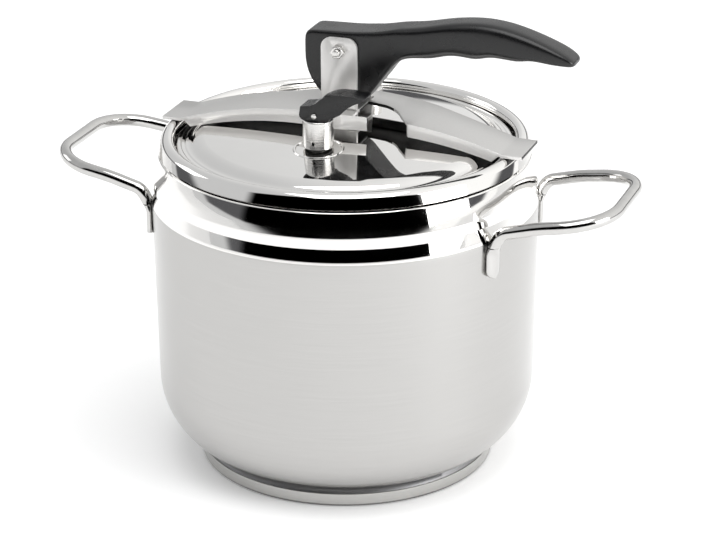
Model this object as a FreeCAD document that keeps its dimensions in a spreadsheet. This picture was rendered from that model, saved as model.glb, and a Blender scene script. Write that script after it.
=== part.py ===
import FreeCAD
import Part
import Sketcher
import math
import os
import re

# Stovetop pressure cooker with a lever-operated bridge closure.
# Frame: +Z up, origin on the pot's axis at the underside of its base, +X towards the tip of the
# closing lever. Everything is in millimetres.

Vector = FreeCAD.Vector
Placement = FreeCAD.Placement
Rotation = FreeCAD.Rotation

DIMENSIONS = {
    # pot shell
    "sheet": 1.0,
    "wall_top_radius": 111.5,
    "wall_low_radius": 109.6,
    "corner_radius": 44.0,
    "floor_radius": 65.0,
    "bottom_height": 6.3,
    "step_height": 165.4,
    "neck_radius": 110.4,
    "neck_bottom": 166.8,
    "shoulder_start": 172.5,
    "shoulder_end_radius": 106.8,
    "shoulder_end": 185.2,
    "shoulder_arc": 32.0,
    "rim_radius": 102.3,
    "roll_radius": 4.7,
    "roll_low_centre": 190.4,
    "roll_high_centre": 191.2,
    # sandwich base
    "cap_radius": 86.0,
    "cap_height": 7.5,
    "cap_sheet": 0.8,
    "cap_edge": 1.6,
    "core_radius": 85.2,
    # loop handles
    "bar_radius": 3.65,
    "leg_angle": 23.5,
    "leg_foot": 137.0,
    "leg_bend": 162.6,
    "arm_knee": 128.0,
    "arm_knee_height": 168.6,
    "bend_radius": 9.0,
    "loop_reach": 170.2,
    "loop_tip_height": 174.5,
    "loop_corner": 29.0,
    "knee_radius": 60.0,
    "pad_width": 10.4,
    "pad_depth": 3.4,
    "pad_height": 22.0,
    # lid
    "lid_sheet": 1.2,
    "lid_centre": 202.2,
    "lid_flat": 17.0,
    "lid_dome": 480.0,
    "dome_edge": 82.5,
    "dome_edge_height": 195.2,
    "channel_inner": 89.2,
    "channel_outer": 94.6,
    "channel_floor": 191.0,
    "lid_wall": 96.4,
    "lid_flange": 184.0,
    "lid_radius": 104.2,
    # gasket
    "gasket_inner": 98.6,
    "gasket_outer": 106.4,
    "gasket_low": 180.4,
    "gasket_high": 185.4,
    # bridge
    "bridge_centre": 1.5,
    "bridge_sheet": 1.8,
    "bridge_top": 214.0,
    "tab_top": 198.0,
    "tab_start": 97.0,
    "bridge_half_length": 108.5,
    "bridge_half_width": 25.0,
    "tab_half_width": 15.5,
    "flange_depth": 8.6,
    "flange_half_length": 95.0,
    # bracket
    "bracket_centre": 1.5,
    "bracket_width": 21.4,
    "bracket_inner": 11.2,
    "bracket_plate": 2.0,
    "bracket_web": 1.8,
    "bracket_top": 255.2,
    "bracket_corner": 6.0,
    "pivot_height": 247.5,
    "bolt_hole": 2.05,
    "rivet_hole": 2.0,
    "rivet_offset": 6.5,
    # lever
    "lever_width": 21.4,
    "bush_radius": 4.0,
    "bush_bore": 2.06,
    # pivot bolt and nut
    "bolt_radius": 2.0,
    "bolt_end": 18.6,
    "hex_flats": 7.0,
    "nut_height": 3.2,
    "bolt_head": 2.8,
    # exhaust valve
    "valve_across": 0.5,
    "valve_along": -43.5,
    "valve_seat": 200.6,
    "valve_radius": 8.75,
    "valve_top": 217.6,
    "valve_shank": 5.0,
    "valve_cavity": 4.6,
    "valve_guide": 2.06,
    "valve_steam": 1.6,
    "valve_vent": 1.1,
    "valve_low": 190.0,
    "washer_radius": 7.6,
    "washer_height": 1.2,
    "valve_nut_height": 4.0,
    "valve_nut_flats": 14.0,
    "needle_radius": 2.0,
    "needle_collar": 4.3,
    "valve_pin_height": 220.8,
    "valve_lever_width": 13.0,
    "valve_pin_radius": 1.5,
    "valve_pin_half": 7.3,
    # safety valve
    "safety_across": 0.0,
    "safety_along": 45.0,
    "safety_radius": 6.5,
    "safety_top": 208.6,
    "safety_cavity": 3.6,
    "safety_steam": 1.7,
    "safety_ball": 2.4,
    "safety_seat": 196.2,
    "ball_lift": 1.84,
    "valve_wire": 0.45,
    "safety_wire": 0.35,
    "seat_ring": 10.2,
    "seat_floor": 9.3,
}

doc = FreeCAD.newDocument("PressureCooker")
sheet = doc.addObject("Spreadsheet::Sheet", "Dims")
for row, (alias, value) in enumerate(DIMENSIONS.items(), start=1):
    sheet.set("A%d" % row, alias)
    sheet.set("B%d" % row, str(value))
    sheet.setAlias("B%d" % row, alias)
doc.recompute()

FUNCTIONS = ("sqrt", "sin", "cos", "tan", "deg")
parts = []


def cells(text):
    """Write an expression so that each dimension's name points at its cell."""

    def point(match):
        word = match.group(0)
        return word if word in FUNCTIONS else "Dims." + word

    return re.sub(r"[a-z_]{2,}", point, str(text))


def number(text):
    """The present value of an expression made of dimension names."""
    value = sheet.evalExpression(cells(text))
    return float(getattr(value, "Value", value))


def bind(target, prop, text):
    target.setExpression(prop, cells(text))


def new_body(label):
    body = doc.addObject("PartDesign::Body", label)
    body.Label = label
    parts.append(body)
    return body


def new_sketch(body, plane, offset=None):
    sketch = body.newObject("Sketcher::SketchObject", body.Label + "_sketch")
    origin = [f for f in body.Origin.OriginFeatures if f.Role == plane][0]
    sketch.AttachmentSupport = [(origin, "")]
    sketch.MapMode = "FlatFace"
    if offset:
        sketch.AttachmentOffset = Placement(Vector(0, 0, number(offset)), Rotation())
        bind(sketch, ".AttachmentOffset.Base.z", offset)
    return sketch


def hold(sketch, geometry, end, across, up):
    """Fix one end of a line or an arc at a place given by two expressions."""
    for kind, text in (("DistanceX", across), ("DistanceY", up)):
        index = sketch.addConstraint(
            Sketcher.Constraint(kind, -1, 1, geometry, end, number(text)))
        bind(sketch, "Constraints[%d]" % index, text)


def draw(sketch, start, *steps):
    """Draw a closed outline. A step is (x, y) for a straight run, or (x, y, radius, turn) for an
    arc that turns left (+1) or right (-1), and every value is an expression."""
    here = start
    previous = None
    for step in steps:
        x0, y0 = number(here[0]), number(here[1])
        x1, y1 = number(step[0]), number(step[1])
        a, b = Vector(x0, y0, 0), Vector(x1, y1, 0)
        if len(step) == 2:
            index = sketch.addGeometry(Part.LineSegment(a, b), False)
            first, last = 1, 2
        else:
            radius, turn = number(step[2]), step[3]
            chord = b - a
            rise = math.sqrt(max(radius * radius - chord.Length ** 2 / 4, 0.0))
            side = Vector(-chord.y, chord.x, 0).normalize()
            centre = (a + b) * 0.5 + side * (rise * turn)
            from_angle = math.atan2(y0 - centre.y, x0 - centre.x)
            to_angle = math.atan2(y1 - centre.y, x1 - centre.x)
            circle = Part.Circle(centre, Vector(0, 0, 1), radius)
            first, last = (1, 2) if turn > 0 else (2, 1)
            low, high = (from_angle, to_angle) if turn > 0 else (to_angle, from_angle)
            if high < low:
                high += 2 * math.pi
            index = sketch.addGeometry(Part.ArcOfCircle(circle, low, high), False)
            size = sketch.addConstraint(Sketcher.Constraint("Radius", index, radius))
            bind(sketch, "Constraints[%d]" % size, step[2])
        if previous is not None:
            sketch.addConstraint(
                Sketcher.Constraint("Coincident", previous[0], previous[1], index, first))
        else:
            opening = (index, first)
        hold(sketch, index, first, here[0], here[1])
        previous = (index, last)
        here = step
    sketch.addConstraint(
        Sketcher.Constraint("Coincident", previous[0], previous[1], opening[0], opening[1]))


def draw_circle(sketch, across, up, radius):
    centre = Vector(number(across), number(up), 0)
    index = sketch.addGeometry(Part.Circle(centre, Vector(0, 0, 1), number(radius)), False)
    size = sketch.addConstraint(Sketcher.Constraint("Radius", index, number(radius)))
    bind(sketch, "Constraints[%d]" % size, radius)
    hold(sketch, index, 3, across, up)


def draw_hexagon(sketch, flats):
    """A hexagon about the sketch's origin, flats apart by the given size."""
    half = "%s/2" % flats
    corner = "%s/sqrt(3)" % flats
    draw(sketch, ("0-" + corner, "0"), ("0-%s/2" % corner, "0-" + half),
         ("%s/2" % corner, "0-" + half), (corner, "0"), ("%s/2" % corner, half),
         ("0-%s/2" % corner, half), ("0-" + corner, "0"))


def revolve(body, sketch):
    feature = body.newObject("PartDesign::Revolution", body.Label + "_turned")
    feature.Profile = sketch
    feature.ReferenceAxis = (sketch, ["V_Axis"])
    feature.Angle = 360.0
    return feature


def pad(body, sketch, length, middle=False):
    feature = body.newObject("PartDesign::Pad", body.Label + "_pad")
    feature.Profile = sketch
    feature.Length = number(length)
    bind(feature, "Length", length)
    feature.SideType = "Symmetric" if middle else "One side"
    return feature


def pocket(body, sketch, length, middle=False, reverse=False):
    doc.recompute()
    before = body.Shape.Volume
    feature = body.newObject("PartDesign::Pocket", body.Label + "_pocket")
    feature.Profile = sketch
    feature.Length = number(length)
    bind(feature, "Length", length)
    feature.SideType = "Symmetric" if middle else "One side"
    feature.Reversed = reverse
    doc.recompute()
    if body.Shape.Volume > before - 0.01:
        raise RuntimeError("a pocket in %s cuts nothing" % body.Label)
    return feature


def feature_part(label, shape):
    """A sub-part whose shape is worked out here from the sheet's values."""
    part = doc.addObject("Part::Feature", label)
    part.Label = label
    part.Shape = shape
    parts.append(part)
    return part


# ------------------------------------------------------------------ pot shell

def pot_body():
    body = new_body("pot_body")
    sketch = new_sketch(body, "XZ_Plane")
    tangent = "bottom_height+corner_radius"
    start = ("floor_radius", "bottom_height")
    draw(
        sketch, start,
        ("wall_low_radius-corner_radius", "bottom_height"),
        ("wall_low_radius", tangent, "corner_radius", 1),
        ("wall_top_radius", "step_height-0.6"),
        ("wall_top_radius-0.6", "step_height", "0.6", 1),
        ("neck_radius", "neck_bottom"),
        ("neck_radius", "shoulder_start"),
        ("shoulder_end_radius", "shoulder_end", "shoulder_arc", 1),
        ("shoulder_end_radius-1.5", "roll_low_centre-roll_radius+sheet", "1.7", 1),
        ("rim_radius", "roll_low_centre-roll_radius+sheet"),
        ("rim_radius-roll_radius+sheet", "roll_low_centre", "roll_radius-sheet", -1),
        ("rim_radius-roll_radius+sheet", "roll_high_centre"),
        ("rim_radius", "roll_high_centre+roll_radius-sheet", "roll_radius-sheet", -1),
        ("rim_radius+roll_radius-sheet", "roll_high_centre", "roll_radius-sheet", -1),
        ("rim_radius+roll_radius-sheet", "roll_low_centre"),
        ("rim_radius+(roll_radius-sheet)*cos(50 deg)",
         "roll_low_centre-(roll_radius-sheet)*sin(50 deg)", "roll_radius-sheet", -1),
        ("rim_radius+roll_radius*cos(50 deg)", "roll_low_centre-roll_radius*sin(50 deg)"),
        ("rim_radius+roll_radius", "roll_low_centre", "roll_radius", 1),
        ("rim_radius+roll_radius", "roll_high_centre"),
        ("rim_radius", "roll_high_centre+roll_radius", "roll_radius", 1),
        ("rim_radius-roll_radius", "roll_high_centre", "roll_radius", 1),
        ("rim_radius-roll_radius", "roll_low_centre"),
        ("rim_radius", "roll_low_centre-roll_radius", "roll_radius", 1),
        ("shoulder_end_radius-1.9", "roll_low_centre-roll_radius"),
        ("neck_radius-sheet", "shoulder_start", "shoulder_arc-sheet", -1),
        ("neck_radius-sheet", "neck_bottom-0.6"),
        ("wall_top_radius-sheet", "step_height-1.6"),
        ("wall_low_radius-sheet", tangent),
        ("wall_low_radius-corner_radius", "bottom_height+sheet", "corner_radius-sheet", -1),
        ("floor_radius", "bottom_height+sheet"),
        start)
    revolve(body, sketch)


def pot_floor():
    """The flat middle of the drawn shell, a solid of its own so that the inside stays open."""
    body = new_body("pot_floor")
    sketch = new_sketch(body, "XY_Plane", "bottom_height")
    draw_circle(sketch, "0", "0", "floor_radius")
    pad(body, sketch, "sheet")


def base_core():
    body = new_body("base_core")
    sketch = new_sketch(body, "XZ_Plane")
    bend = "wall_low_radius-corner_radius"
    lift = "(core_radius-1.4-wall_low_radius+corner_radius)"
    rise = "bottom_height+corner_radius-sqrt(corner_radius*corner_radius-%s*%s)" % (lift, lift)
    start = ("0", "cap_sheet")
    draw(
        sketch, start,
        ("core_radius", "cap_sheet"),
        ("core_radius", "cap_height"),
        ("core_radius-1.4", rise),
        (bend, "bottom_height", "corner_radius", -1),
        ("0", "bottom_height"),
        start)
    revolve(body, sketch)


def base_cap():
    body = new_body("base_cap")
    sketch = new_sketch(body, "XZ_Plane")
    start = ("0", "0")
    draw(
        sketch, start,
        ("cap_radius-cap_edge", "0"),
        ("cap_radius", "cap_edge", "cap_edge", 1),
        ("cap_radius", "cap_height"),
        ("core_radius", "cap_height"),
        ("core_radius", "cap_sheet"),
        ("0", "cap_sheet"),
        start)
    revolve(body, sketch)


# ------------------------------------------------------------------ loop handles

def rounded_path(points, radii):
    """A wire through the points with each inner corner rounded by an arc of its radius."""
    edges = []
    here = points[0]
    for index in range(1, len(points) - 1):
        corner = points[index]
        before = (points[index - 1] - corner).normalize()
        after = (points[index + 1] - corner).normalize()
        half = before.getAngle(after) / 2
        reach = radii[index - 1] / math.tan(half)
        enter = corner + before * reach
        leave = corner + after * reach
        middle = (before + after).normalize()
        centre = corner + middle * (radii[index - 1] / math.sin(half))
        bulge = centre - middle * radii[index - 1]
        edges.append(Part.LineSegment(here, enter).toShape())
        edges.append(Part.Arc(enter, bulge, leave).toShape())
        here = leave
    edges.append(Part.LineSegment(here, points[-1]).toShape())
    return Part.Wire(edges)


def loop_handle(label, side):
    bar = number("bar_radius")
    angle = math.radians(number("leg_angle"))
    wall = number("wall_top_radius")
    leg = wall + bar - 0.9
    x_leg, y_leg = leg * math.cos(angle), leg * math.sin(angle)
    reach = number("loop_reach") - bar
    foot, bend, tip = number("leg_foot"), number("leg_bend"), number("loop_tip_height")
    knee, knee_height = number("arm_knee"), number("arm_knee_height")
    half_tip = y_leg - 3.0
    half_knee = y_leg - 0.6
    points = [
        Vector(x_leg, -y_leg, foot + bar),
        Vector(x_leg, -y_leg, bend),
        Vector(knee, -half_knee, knee_height),
        Vector(reach, -half_tip, tip),
        Vector(reach, half_tip, tip),
        Vector(knee, half_knee, knee_height),
        Vector(x_leg, y_leg, bend),
        Vector(x_leg, y_leg, foot + bar),
    ]
    half_way = [number("bend_radius"), number("knee_radius"), number("loop_corner")]
    corners = half_way + half_way[::-1]
    path = rounded_path(points, corners)
    ring = Part.Wire([Part.makeCircle(bar, points[0], Vector(0, 0, 1))])
    solid = path.makePipeShell([ring], True, True)
    width, depth, height = number("pad_width"), number("pad_depth"), number("pad_height")
    for turn in (-1, 1):
        pad_box = Part.makeBox(depth + 2.0, width, height - width / 2,
                               Vector(wall - 2.0, -width / 2, foot + width / 2))
        pad_end = Part.makeCylinder(width / 2, depth + 2.0, Vector(wall - 2.0, 0, foot + width / 2),
                                    Vector(1, 0, 0))
        flat = pad_box.fuse(pad_end).removeSplitter()
        flat.rotate(Vector(0, 0, 0), Vector(0, 0, 1), turn * math.degrees(angle))
        solid = solid.fuse(flat)
    low, high = number("bottom_height+corner_radius"), number("step_height-0.6")
    wall_low = number("wall_low_radius")
    slope = (wall - wall_low) / (high - low)
    drum = Part.makeCone(wall_low, wall + slope * 30, high - low + 30, Vector(0, 0, low))
    solid = solid.cut(drum).removeSplitter()
    part = feature_part(label, solid)
    part.Placement = Placement(Vector(0, 0, 0), Rotation(Vector(0, 0, 1), 0 if side > 0 else 180))


# ------------------------------------------------------------------ lid and gasket

def lid():
    body = new_body("lid")
    sketch = new_sketch(body, "XZ_Plane")
    start = ("0", "lid_centre-lid_sheet")
    draw(
        sketch, start,
        ("lid_flat", "lid_centre-lid_sheet"),
        ("dome_edge", "dome_edge_height-lid_sheet", "lid_dome", -1),
        ("channel_inner-1.1", "channel_floor-lid_sheet", "8.5", -1),
        ("channel_outer", "channel_floor-lid_sheet"),
        ("lid_wall-lid_sheet", "channel_floor-lid_sheet-0.7", "1.6", -1),
        ("lid_wall-lid_sheet", "lid_flange-lid_sheet"),
        ("lid_radius", "lid_flange-lid_sheet"),
        ("lid_radius", "lid_flange"),
        ("lid_wall", "lid_flange"),
        ("lid_wall", "channel_floor-1.2"),
        ("lid_wall-1.2", "channel_floor", "1.2", 1),
        ("channel_inner", "channel_floor"),
        ("dome_edge", "dome_edge_height", "9.7", 1),
        ("lid_flat", "lid_centre", "lid_dome", 1),
        ("0", "lid_centre"),
        start)
    revolve(body, sketch)
    # flat round seats pressed into the dome for the two valves
    under = "valve_seat-lid_sheet"
    ring = new_sketch(body, "XY_Plane", under)
    draw_circle(ring, "valve_across", "valve_along", "seat_ring")
    draw_circle(ring, "safety_across", "safety_along", "seat_ring")
    pad(body, ring, "lid_sheet")
    above = new_sketch(body, "XY_Plane", "valve_seat+4")
    draw_circle(above, "valve_across", "valve_along", "seat_floor")
    draw_circle(above, "safety_across", "safety_along", "seat_floor")
    pocket(body, above, "4")
    below = new_sketch(body, "XY_Plane", under + "-4")
    draw_circle(below, "valve_across", "valve_along", "seat_floor")
    draw_circle(below, "safety_across", "safety_along", "seat_floor")
    pocket(body, below, "4", reverse=True)
    holes = new_sketch(body, "XY_Plane", "lid_centre+5")
    draw_circle(holes, "valve_across", "valve_along", "valve_shank")
    draw_circle(holes, "safety_across", "safety_along", "valve_shank")
    draw_circle(holes, "bracket_centre-rivet_offset", "0", "rivet_hole")
    draw_circle(holes, "bracket_centre+rivet_offset", "0", "rivet_hole")
    pocket(body, holes, "20")


def lid_gasket():
    body = new_body("lid_gasket")
    sketch = new_sketch(body, "XZ_Plane")
    start = ("gasket_inner", "gasket_low")
    draw(
        sketch, start,
        ("gasket_outer-1.5", "gasket_low"),
        ("gasket_outer", "gasket_low+1.5", "1.5", 1),
        ("lid_radius+0.4", "gasket_high"),
        ("gasket_inner+0.8", "gasket_high"),
        ("gasket_inner", "lid_flange"),
        ("lid_radius", "lid_flange"),
        ("lid_radius", "lid_flange-lid_sheet"),
        ("gasket_inner", "lid_flange-lid_sheet"),
        start)
    revolve(body, sketch)


# ------------------------------------------------------------------ bridge

def arch_radius():
    half, rise = "tab_start", "(bridge_top-tab_top)"
    return "(%s*%s+%s*%s)/(2*%s)" % (half, half, rise, rise, rise)


def extruded(label, plane_turn, outline, length, shift):
    """A sketch of its own, extruded to a solid: outline is a function that draws it."""
    sketch = doc.addObject("Sketcher::SketchObject", label + "_sketch")
    sketch.Placement = Placement(shift, plane_turn)
    outline(sketch)
    doc.recompute()
    solid = doc.addObject("Part::Extrusion", label)
    solid.Base = sketch
    solid.DirMode = "Normal"
    solid.Solid = True
    solid.LengthFwd = number(length)
    bind(solid, "LengthFwd", length)
    return solid


def bridge():
    """The bridge is drawn about its own centre and then moved along X."""
    side_view = Rotation(Vector(1, 0, 0), 90)
    plan_view = Rotation()
    width = "2*bridge_half_width+10"
    half = "bridge_half_width+5"
    outer = arch_radius()
    end, tab, deep = "bridge_half_length", "tab_start", "flange_half_length"
    rise = "(bridge_top-tab_top)"
    # the height of the arch above the tabs at the ends of the flanges
    drop = "(%s-sqrt(%s*%s-%s*%s))" % (outer, outer, outer, deep, deep)
    slope = "(bridge_top-%s)" % drop

    def blank(sketch):
        under = "tab_top-bridge_sheet"
        start = ("0-" + end, under)
        draw(
            sketch, start,
            ("0-%s" % tab, under),
            ("0-%s" % deep, "%s-bridge_sheet" % slope),
            ("0-%s+4" % deep, "%s+1.2-flange_depth*0.75" % slope),
            ("0", "bridge_top-flange_depth", outer, -1),
            ("%s-4" % deep, "%s+1.2-flange_depth*0.75" % slope, outer, -1),
            (deep, "%s-bridge_sheet" % slope),
            (tab, under),
            (end, under),
            (end, "tab_top"),
            (tab, "tab_top"),
            ("0", "bridge_top", outer, 1),
            ("0-" + tab, "tab_top", outer, 1),
            ("0-" + end, "tab_top"),
            start)

    def hollow(sketch):
        start = ("0-%s" % deep, "tab_top-20")
        draw(
            sketch, start,
            (deep, "tab_top-20"),
            (deep, "%s-bridge_sheet" % slope),
            ("0", "bridge_top-bridge_sheet", outer, 1),
            ("0-%s" % deep, "%s-bridge_sheet" % slope, outer, 1),
            start)

    def plan(inset):
        wide = "bridge_half_width-%s" % inset
        narrow = "tab_half_width-%s" % inset
        over = "0" if inset == "0" else "6"

        def outline(sketch):
            long = "%s+%s" % (end, over)
            start = ("0-(%s)" % long, "0-(%s)" % narrow)
            draw(
                sketch, start,
                ("0-%s+3" % deep, "0-(%s)" % narrow),
                ("0", "0-(%s)" % wide, "500", -1),
                ("%s-3" % deep, "0-(%s)" % narrow, "500", -1),
                (long, "0-(%s)" % narrow),
                (long, narrow),
                ("%s-3" % deep, narrow),
                ("tab_start/2", "0.84*(%s)" % wide, "160", -1),
                ("0", wide, "400", 1),
                ("0-tab_start/3", "0.62*(%s)" % wide),
                ("0-%s+3" % deep, narrow),
                ("0-(%s)" % long, narrow),
                start)

        return outline

    depth = "60"
    front = Vector(0, number(half), 0)
    floor = Vector(0, 0, number("tab_top-30"))
    solids = {
        "bridge_blank": extruded("bridge_blank", side_view, blank, width, front),
        "bridge_plan": extruded("bridge_plan", plan_view, plan("0"), depth, floor),
        "bridge_hollow": extruded("bridge_hollow", side_view, hollow, width, front),
        "bridge_inside": extruded("bridge_inside", plan_view, plan("bridge_sheet"), depth, floor),
    }
    pressed = doc.addObject("Part::MultiCommon", "bridge_pressed")
    pressed.Shapes = [solids["bridge_blank"], solids["bridge_plan"]]
    inside = doc.addObject("Part::MultiCommon", "bridge_channel")
    inside.Shapes = [solids["bridge_hollow"], solids["bridge_inside"]]
    channel = doc.addObject("Part::Cut", "bridge_shell")
    channel.Base = pressed
    channel.Tool = inside

    def slots(sketch):
        gap = "0.6"
        left = "bracket_centre-bridge_centre-bracket_width/2-" + gap
        right = "bracket_centre-bridge_centre+bracket_width/2+" + gap
        near = "bracket_inner-0.5"
        far = "bracket_inner+bracket_plate+0.6"
        window = "bridge_half_width-bridge_sheet-1.4"
        start = (left, far)
        draw(sketch, start, (left, near), (right, near), (right, far), start)
        start = (left, "0-(%s)" % far)
        draw(
            sketch, start,
            (right, "0-(%s)" % far),
            (right, "0-(%s)" % window),
            ("44.5", "0-(%s)+1.2" % window),
            ("35", "0-8"),
            ("23", "3", "22", 1),
            (right, "4.5"),
            (right, "0-(%s)" % near),
            (left, "0-(%s)" % near),
            start)

    cutter = extruded("bridge_slots", plan_view, slots, depth, floor)
    result = doc.addObject("Part::Cut", "bridge")
    result.Label = "bridge"
    result.Base = channel
    result.Tool = cutter
    bind(result, ".Placement.Base.x", "bridge_centre")
    parts.append(result)


# ------------------------------------------------------------------ bracket, rivets, pivot

def bracket():
    body = new_body("bracket")
    sketch = new_sketch(body, "XZ_Plane")
    left, right = "bracket_centre-bracket_width/2", "bracket_centre+bracket_width/2"
    start = (left, "lid_centre")
    draw(
        sketch, start,
        (right, "lid_centre"),
        (right, "bracket_top-bracket_corner"),
        (right + "-bracket_corner", "bracket_top", "bracket_corner", 1),
        (left + "+bracket_corner", "bracket_top"),
        (left, "bracket_top-bracket_corner", "bracket_corner", 1),
        start)
    pad(body, sketch, "2*bracket_inner+2*bracket_plate", True)
    middle = new_sketch(body, "XZ_Plane")
    low, high = "lid_centre+bracket_web", "bracket_top+5"
    start = (left + "-5", low)
    draw(middle, start, (right + "+5", low), (right + "+5", high), (left + "-5", high), start)
    pocket(body, middle, "2*bracket_inner", True)
    bolt = new_sketch(body, "XZ_Plane")
    draw_circle(bolt, "bracket_centre", "pivot_height", "bolt_hole")
    pocket(body, bolt, "60", True)
    rivets = new_sketch(body, "XY_Plane", "lid_centre+10")
    for side in ("-", "+"):
        draw_circle(rivets, "bracket_centre%srivet_offset" % side, "0", "rivet_hole")
    pocket(body, rivets, "20")


def bracket_rivets():
    """Two equal rivets: a domed head on the web and a flat head under the lid."""
    radius = number("rivet_hole")
    top = number("lid_centre+bracket_web")
    low = number("lid_centre-lid_sheet")
    solids = []
    for side in (-1, 1):
        x = number("bracket_centre") + side * number("rivet_offset")
        shank = Part.makeCylinder(radius, top - low + 2.4, Vector(x, 0, low - 1.2))
        flat = Part.makeCylinder(radius * 2, 1.2, Vector(x, 0, low - 1.2))
        ball = Part.makeSphere(radius * 2.2, Vector(x, 0, top - radius * 1.1))
        above = Part.makeBox(20, 20, 20, Vector(x - 10, -10, top))
        solids.append(shank.fuse([flat, ball.common(above)]).removeSplitter())
    feature_part("bracket_rivets", Part.makeCompound(solids))


def pivot_bolt():
    body = new_body("pivot_bolt")
    body.Placement = Placement(Vector(0, 0, 0), Rotation(Vector(1, 0, 0), 90))
    bind(body, ".Placement.Base.x", "bracket_centre")
    bind(body, ".Placement.Base.z", "pivot_height")
    shank = new_sketch(body, "XY_Plane", "0-bracket_inner-bracket_plate")
    draw_circle(shank, "0", "0", "bolt_radius")
    pad(body, shank, "bracket_inner+bracket_plate+bolt_end")
    head = new_sketch(body, "XY_Plane", "0-bracket_inner-bracket_plate-bolt_head")
    draw_hexagon(head, "hex_flats")
    pad(body, head, "bolt_head")


def hex_nut(label, flats, bore, low, height, turn, place):
    """A hexagon nut about its own Z axis: place gives the expressions of its position."""
    body = new_body(label)
    body.Placement = Placement(Vector(0, 0, 0), turn)
    for axis, text in zip("xyz", place):
        bind(body, ".Placement.Base." + axis, text)
    sketch = new_sketch(body, "XY_Plane", low)
    draw_hexagon(sketch, flats)
    pad(body, sketch, height)
    hole = new_sketch(body, "XY_Plane", "%s+%s+1" % (low, height))
    draw_circle(hole, "0", "0", bore)
    pocket(body, hole, "%s+2" % height)


# ------------------------------------------------------------------ closing lever

def lever():
    """Cam head and finger grip in one moulding, drawn about the pivot."""
    body = new_body("lever")
    bind(body, ".Placement.Base.x", "bracket_centre")
    bind(body, ".Placement.Base.z", "pivot_height")
    sketch = new_sketch(body, "XZ_Plane")
    foot = "bridge_top+0.4-pivot_height"
    start = ("0-21.5", "0-1")
    draw(
        sketch, start,
        ("0-13.6", "0-25.0", "44", 1),
        ("3", foot, "24", 1),
        ("9.5", foot),
        ("17", "0-25", "12", 1),
        ("33.5", "0-3.6"),
        ("41.6", "0-1.4", "10", -1),
        ("53.4", "0-0.6", "24", 1),
        ("65.9", "0-0.6", "26", -1),
        ("78.3", "0-0.4", "24", 1),
        ("90", "0.4", "24", -1),
        ("102.2", "0.4", "24", 1),
        ("112.4", "1.2", "22", -1),
        ("124", "0.9", "24", 1),
        ("134.6", "1.6", "30", -1),
        ("134.2", "5.6", "2.3", 1),
        ("83", "22.4", "94", 1),
        ("54", "18.4", "110", 1),
        ("20", "12", "130", -1),
        ("0-14.5", "10.6", "110", -1),
        start)
    pad(body, sketch, "lever_width", True)
    bore = new_sketch(body, "XZ_Plane")
    draw_circle(bore, "0", "0", "bush_radius")
    pocket(body, bore, "60", True)


def lever_bush():
    body = new_body("lever_bush")
    bind(body, ".Placement.Base.x", "bracket_centre")
    bind(body, ".Placement.Base.z", "pivot_height")
    sketch = new_sketch(body, "XZ_Plane")
    draw_circle(sketch, "0", "0", "bush_radius")
    draw_circle(sketch, "0", "0", "bush_bore")
    pad(body, sketch, "lever_width", True)


# ------------------------------------------------------------------ exhaust valve

def at_valve(body, kind="valve"):
    bind(body, ".Placement.Base.x", kind + "_across")
    bind(body, ".Placement.Base.y", kind + "_along")


def valve_body():
    body = new_body("valve_body")
    at_valve(body)
    sketch = new_sketch(body, "XZ_Plane")
    seat = "valve_seat+washer_height"
    start = ("valve_steam", "valve_low")
    draw(
        sketch, start,
        ("valve_shank-0.6", "valve_low"),
        ("valve_shank", "valve_low+0.6"),
        ("valve_shank", seat),
        ("valve_radius", seat),
        ("valve_radius", "valve_top-0.8"),
        ("valve_radius-0.8", "valve_top", "0.8", 1),
        ("valve_guide", "valve_top"),
        ("valve_guide", "valve_top-2.4"),
        ("valve_cavity", "valve_top-2.4"),
        ("valve_cavity", "valve_seat+2.6"),
        ("valve_steam+0.9", "valve_seat+2.6"),
        ("valve_steam", "valve_seat+0.6"),
        start)
    revolve(body, sketch)
    vent = new_sketch(body, "XZ_Plane")
    draw_circle(vent, "0", "valve_seat+4.6", "valve_vent")
    pocket(body, vent, "valve_radius+1", reverse=True)


def valve_needle():
    """Cone, collar and stem; the stem's eye takes the lever's pin."""
    body = new_body("valve_needle")
    at_valve(body)
    sketch = new_sketch(body, "XZ_Plane")
    start = ("0", "valve_seat")
    draw(
        sketch, start,
        ("0.9", "valve_seat"),
        ("2.3", "valve_seat+2.9"),
        ("needle_collar", "valve_seat+3.2"),
        ("needle_collar", "valve_seat+4.4"),
        ("needle_radius", "valve_seat+4.4"),
        ("needle_radius", "valve_pin_height+needle_radius"),
        ("0", "valve_pin_height+needle_radius+0.6"),
        start)
    revolve(body, sketch)
    eye = new_sketch(body, "XZ_Plane")
    draw_circle(eye, "0", "valve_pin_height", "valve_pin_radius")
    pocket(body, eye, "20", True)


def coil(turns, radius, wire, height):
    """A helical spring about its own Z axis; its lowest wire is centred on the XY plane."""
    pitch = (height - 2 * wire) / turns
    helix = Part.makeHelix(pitch, height - 2 * wire, radius)
    ring = Part.Wire([Part.makeCircle(wire, Vector(radius, 0, 0), Vector(0, 1, 0))])
    return Part.Wire(helix.Edges).makePipeShell([ring], True, True)


def valve_spring():
    low = number("valve_seat+4.4") + 0.05
    height = number("valve_top-2.4") - 0.05 - low
    wire = number("valve_wire")
    part = feature_part("valve_spring", coil(5, 3.3, wire, height))
    place = Vector(number("valve_across"), number("valve_along"), low + wire)
    part.Placement = Placement(place, Rotation())


def washer(label, kind):
    body = new_body(label)
    at_valve(body, kind)
    sketch = new_sketch(body, "XY_Plane", "valve_seat")
    draw_circle(sketch, "0", "0", "washer_radius")
    draw_circle(sketch, "0", "0", "valve_shank")
    pad(body, sketch, "washer_height")


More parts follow.
